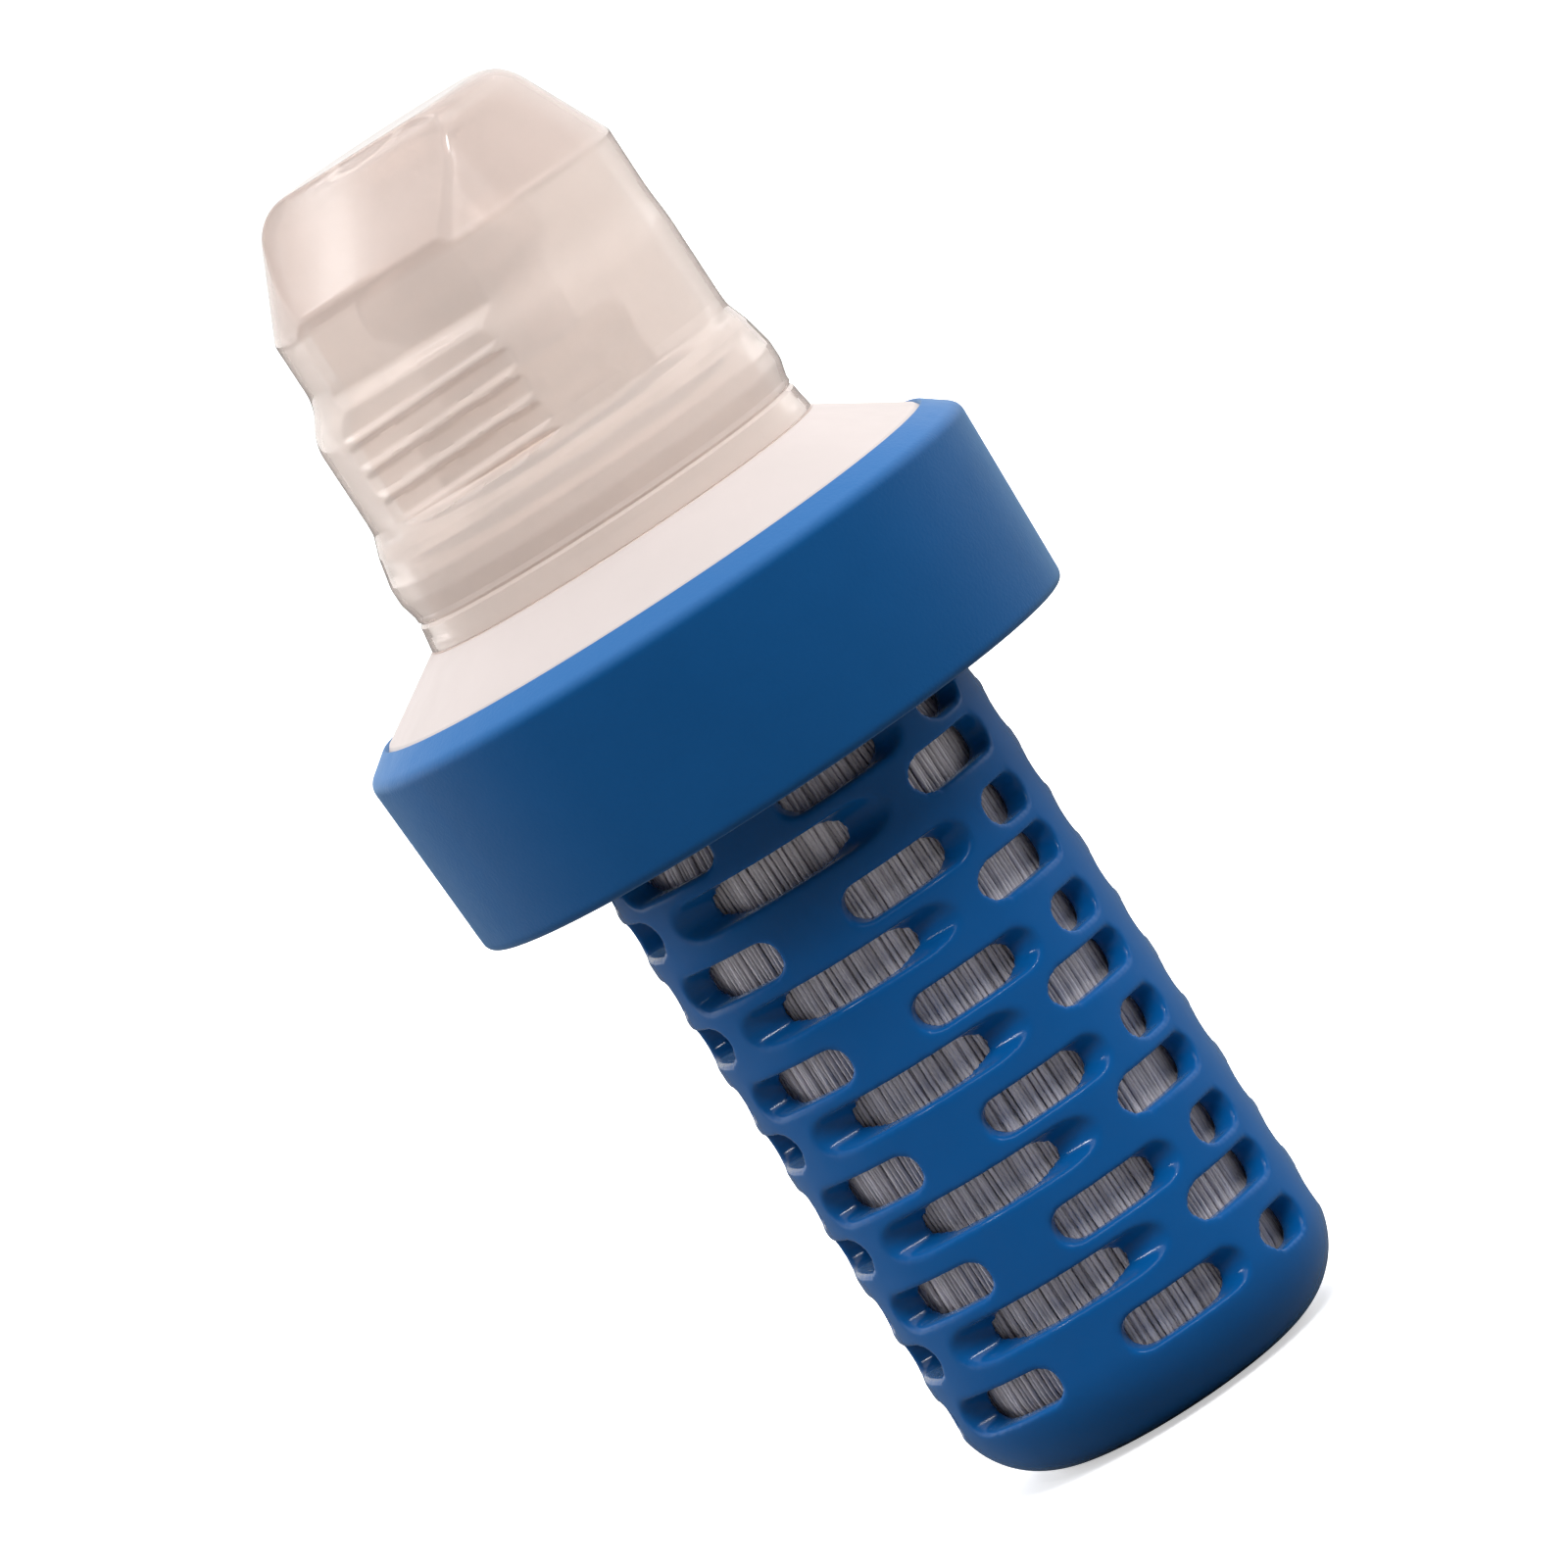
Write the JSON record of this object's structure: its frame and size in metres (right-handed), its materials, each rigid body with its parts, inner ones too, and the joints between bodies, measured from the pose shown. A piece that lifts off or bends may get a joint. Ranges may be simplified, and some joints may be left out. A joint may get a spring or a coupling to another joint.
{
  "type": "bottle water filter",
  "caption": "Hollow-fibre bottle filter: slotted cage of fibres under a screw cap with a push-pull nozzle and a clear dust cap.",
  "frame": {"origin": "centre of the flat bottom of the filter cage", "axes": "+Z along the filter's axis from the cage up to the nozzle; the cage's slots are cut along X, and -Y is its front"},
  "size_m": [0.051, 0.051, 0.1086],
  "materials": {
    "cage_blue": "glossy moulded, deep blue",
    "grip_blue": "matt fine grain, blue",
    "cap_white": "smooth opaque white",
    "clear_plastic": "clear moulded plastic, slightly warm",
    "nozzle_plastic": "translucent soft plastic",
    "head_plastic": "smooth white",
    "resin": "cast resin, amber",
    "seal_rubber": "black rubber",
    "silicone": "translucent silicone",
    "fibre": "thin glossy hollow fibres"
  },
  "bodies": {
    "cartridge": {"filter_cage": "cage_blue", "fibre_hank_core": "fibre", "fibre_hank_1": "fibre", "fibre_hank_2": "fibre", "fibre_hank_3": "fibre", "fibre_hank_4": "fibre", "fibre_hank_5": "fibre", "potting_resin": "resin", "cartridge_head": "head_plastic", "head_o_ring_lower": "seal_rubber", "head_o_ring_upper": "seal_rubber"},
    "spout": {"spout_body": "cap_white", "grip_collar": "grip_blue", "flask_gasket": "silicone", "valve_core": "head_plastic", "nozzle_retainer": "nozzle_plastic"},
    "nozzle": {"nozzle": "nozzle_plastic", "nozzle_o_ring": "seal_rubber"},
    "dust_cap": {"dust_cap": "clear_plastic", "cap_seal": "silicone"}
  },
  "joints": [
    {"name": "cartridge_pull", "type": "slide", "parent": "cartridge", "child": "spout", "axis": [0, 0, 1], "range_m": [0, 0.012]},
    {"name": "nozzle_pull", "type": "slide", "parent": "spout", "child": "nozzle", "axis": [0, 0, 1], "range_m": [0, 0.0035]},
    {"name": "dust_cap_pull", "type": "slide", "parent": "spout", "child": "dust_cap", "axis": [0, 0, 1], "range_m": [0, 0.034]}
  ]
}
